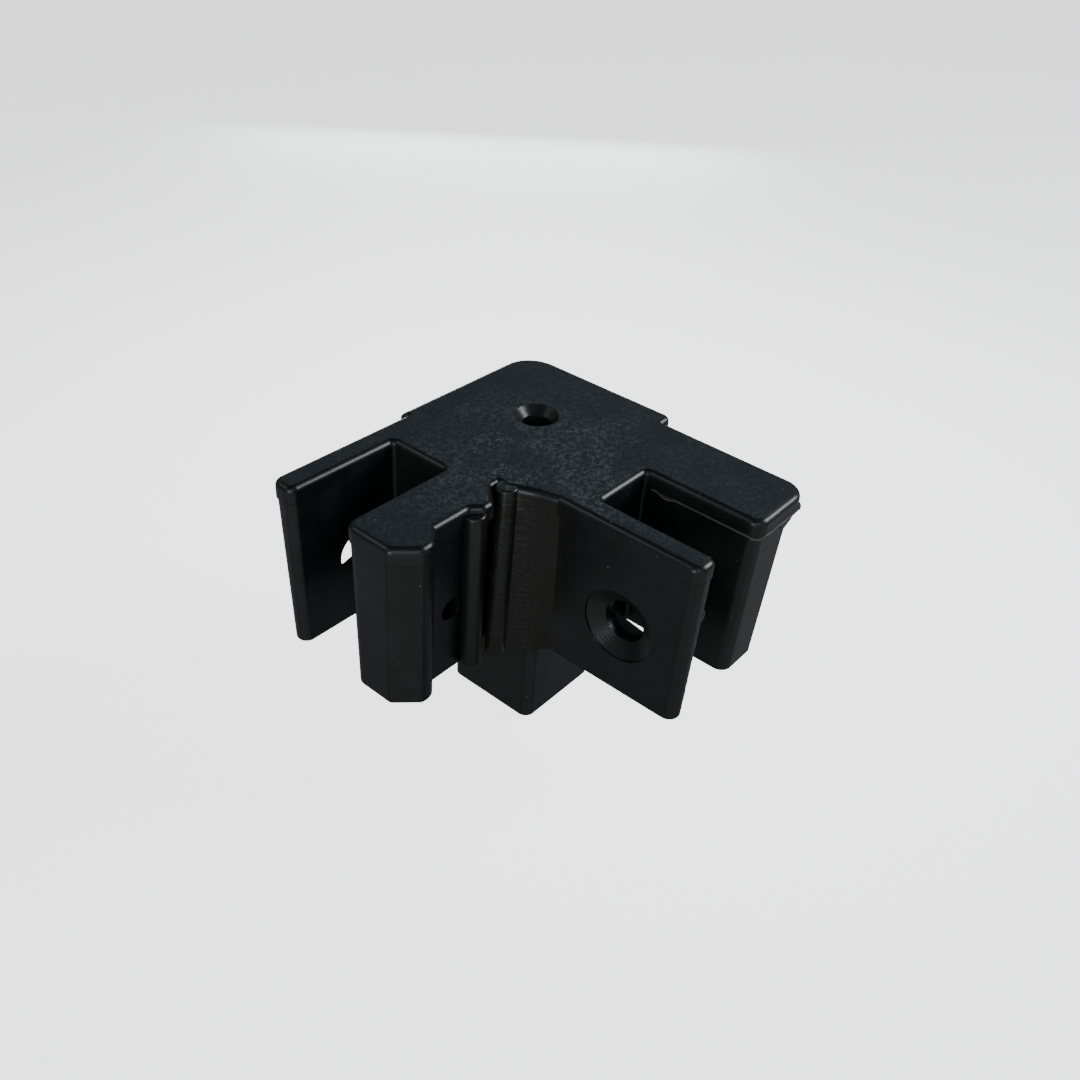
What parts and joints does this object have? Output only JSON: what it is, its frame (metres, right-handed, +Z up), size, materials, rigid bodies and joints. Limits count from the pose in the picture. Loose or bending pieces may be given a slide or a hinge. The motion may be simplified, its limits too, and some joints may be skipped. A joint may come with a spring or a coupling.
{
  "type": "three way corner connector",
  "caption": "Moulded corner connector with two forked arms at a right angle and a square plug for a leg tube.",
  "frame": {"origin": "on the leg plug's axis, in the plane of the hub's underside where the leg tube ends", "axes": "+Z up out of the leg tube, one arm along +X and the other along +Y; the plug points down -Z"},
  "size_m": [0.0791, 0.0793, 0.0753],
  "materials": {
    "black_plastic": "black moulded plastic, satin, with light scuffs"
  },
  "bodies": {
    "root": {"corner_connector": "black_plastic"}
  },
  "joints": []
}
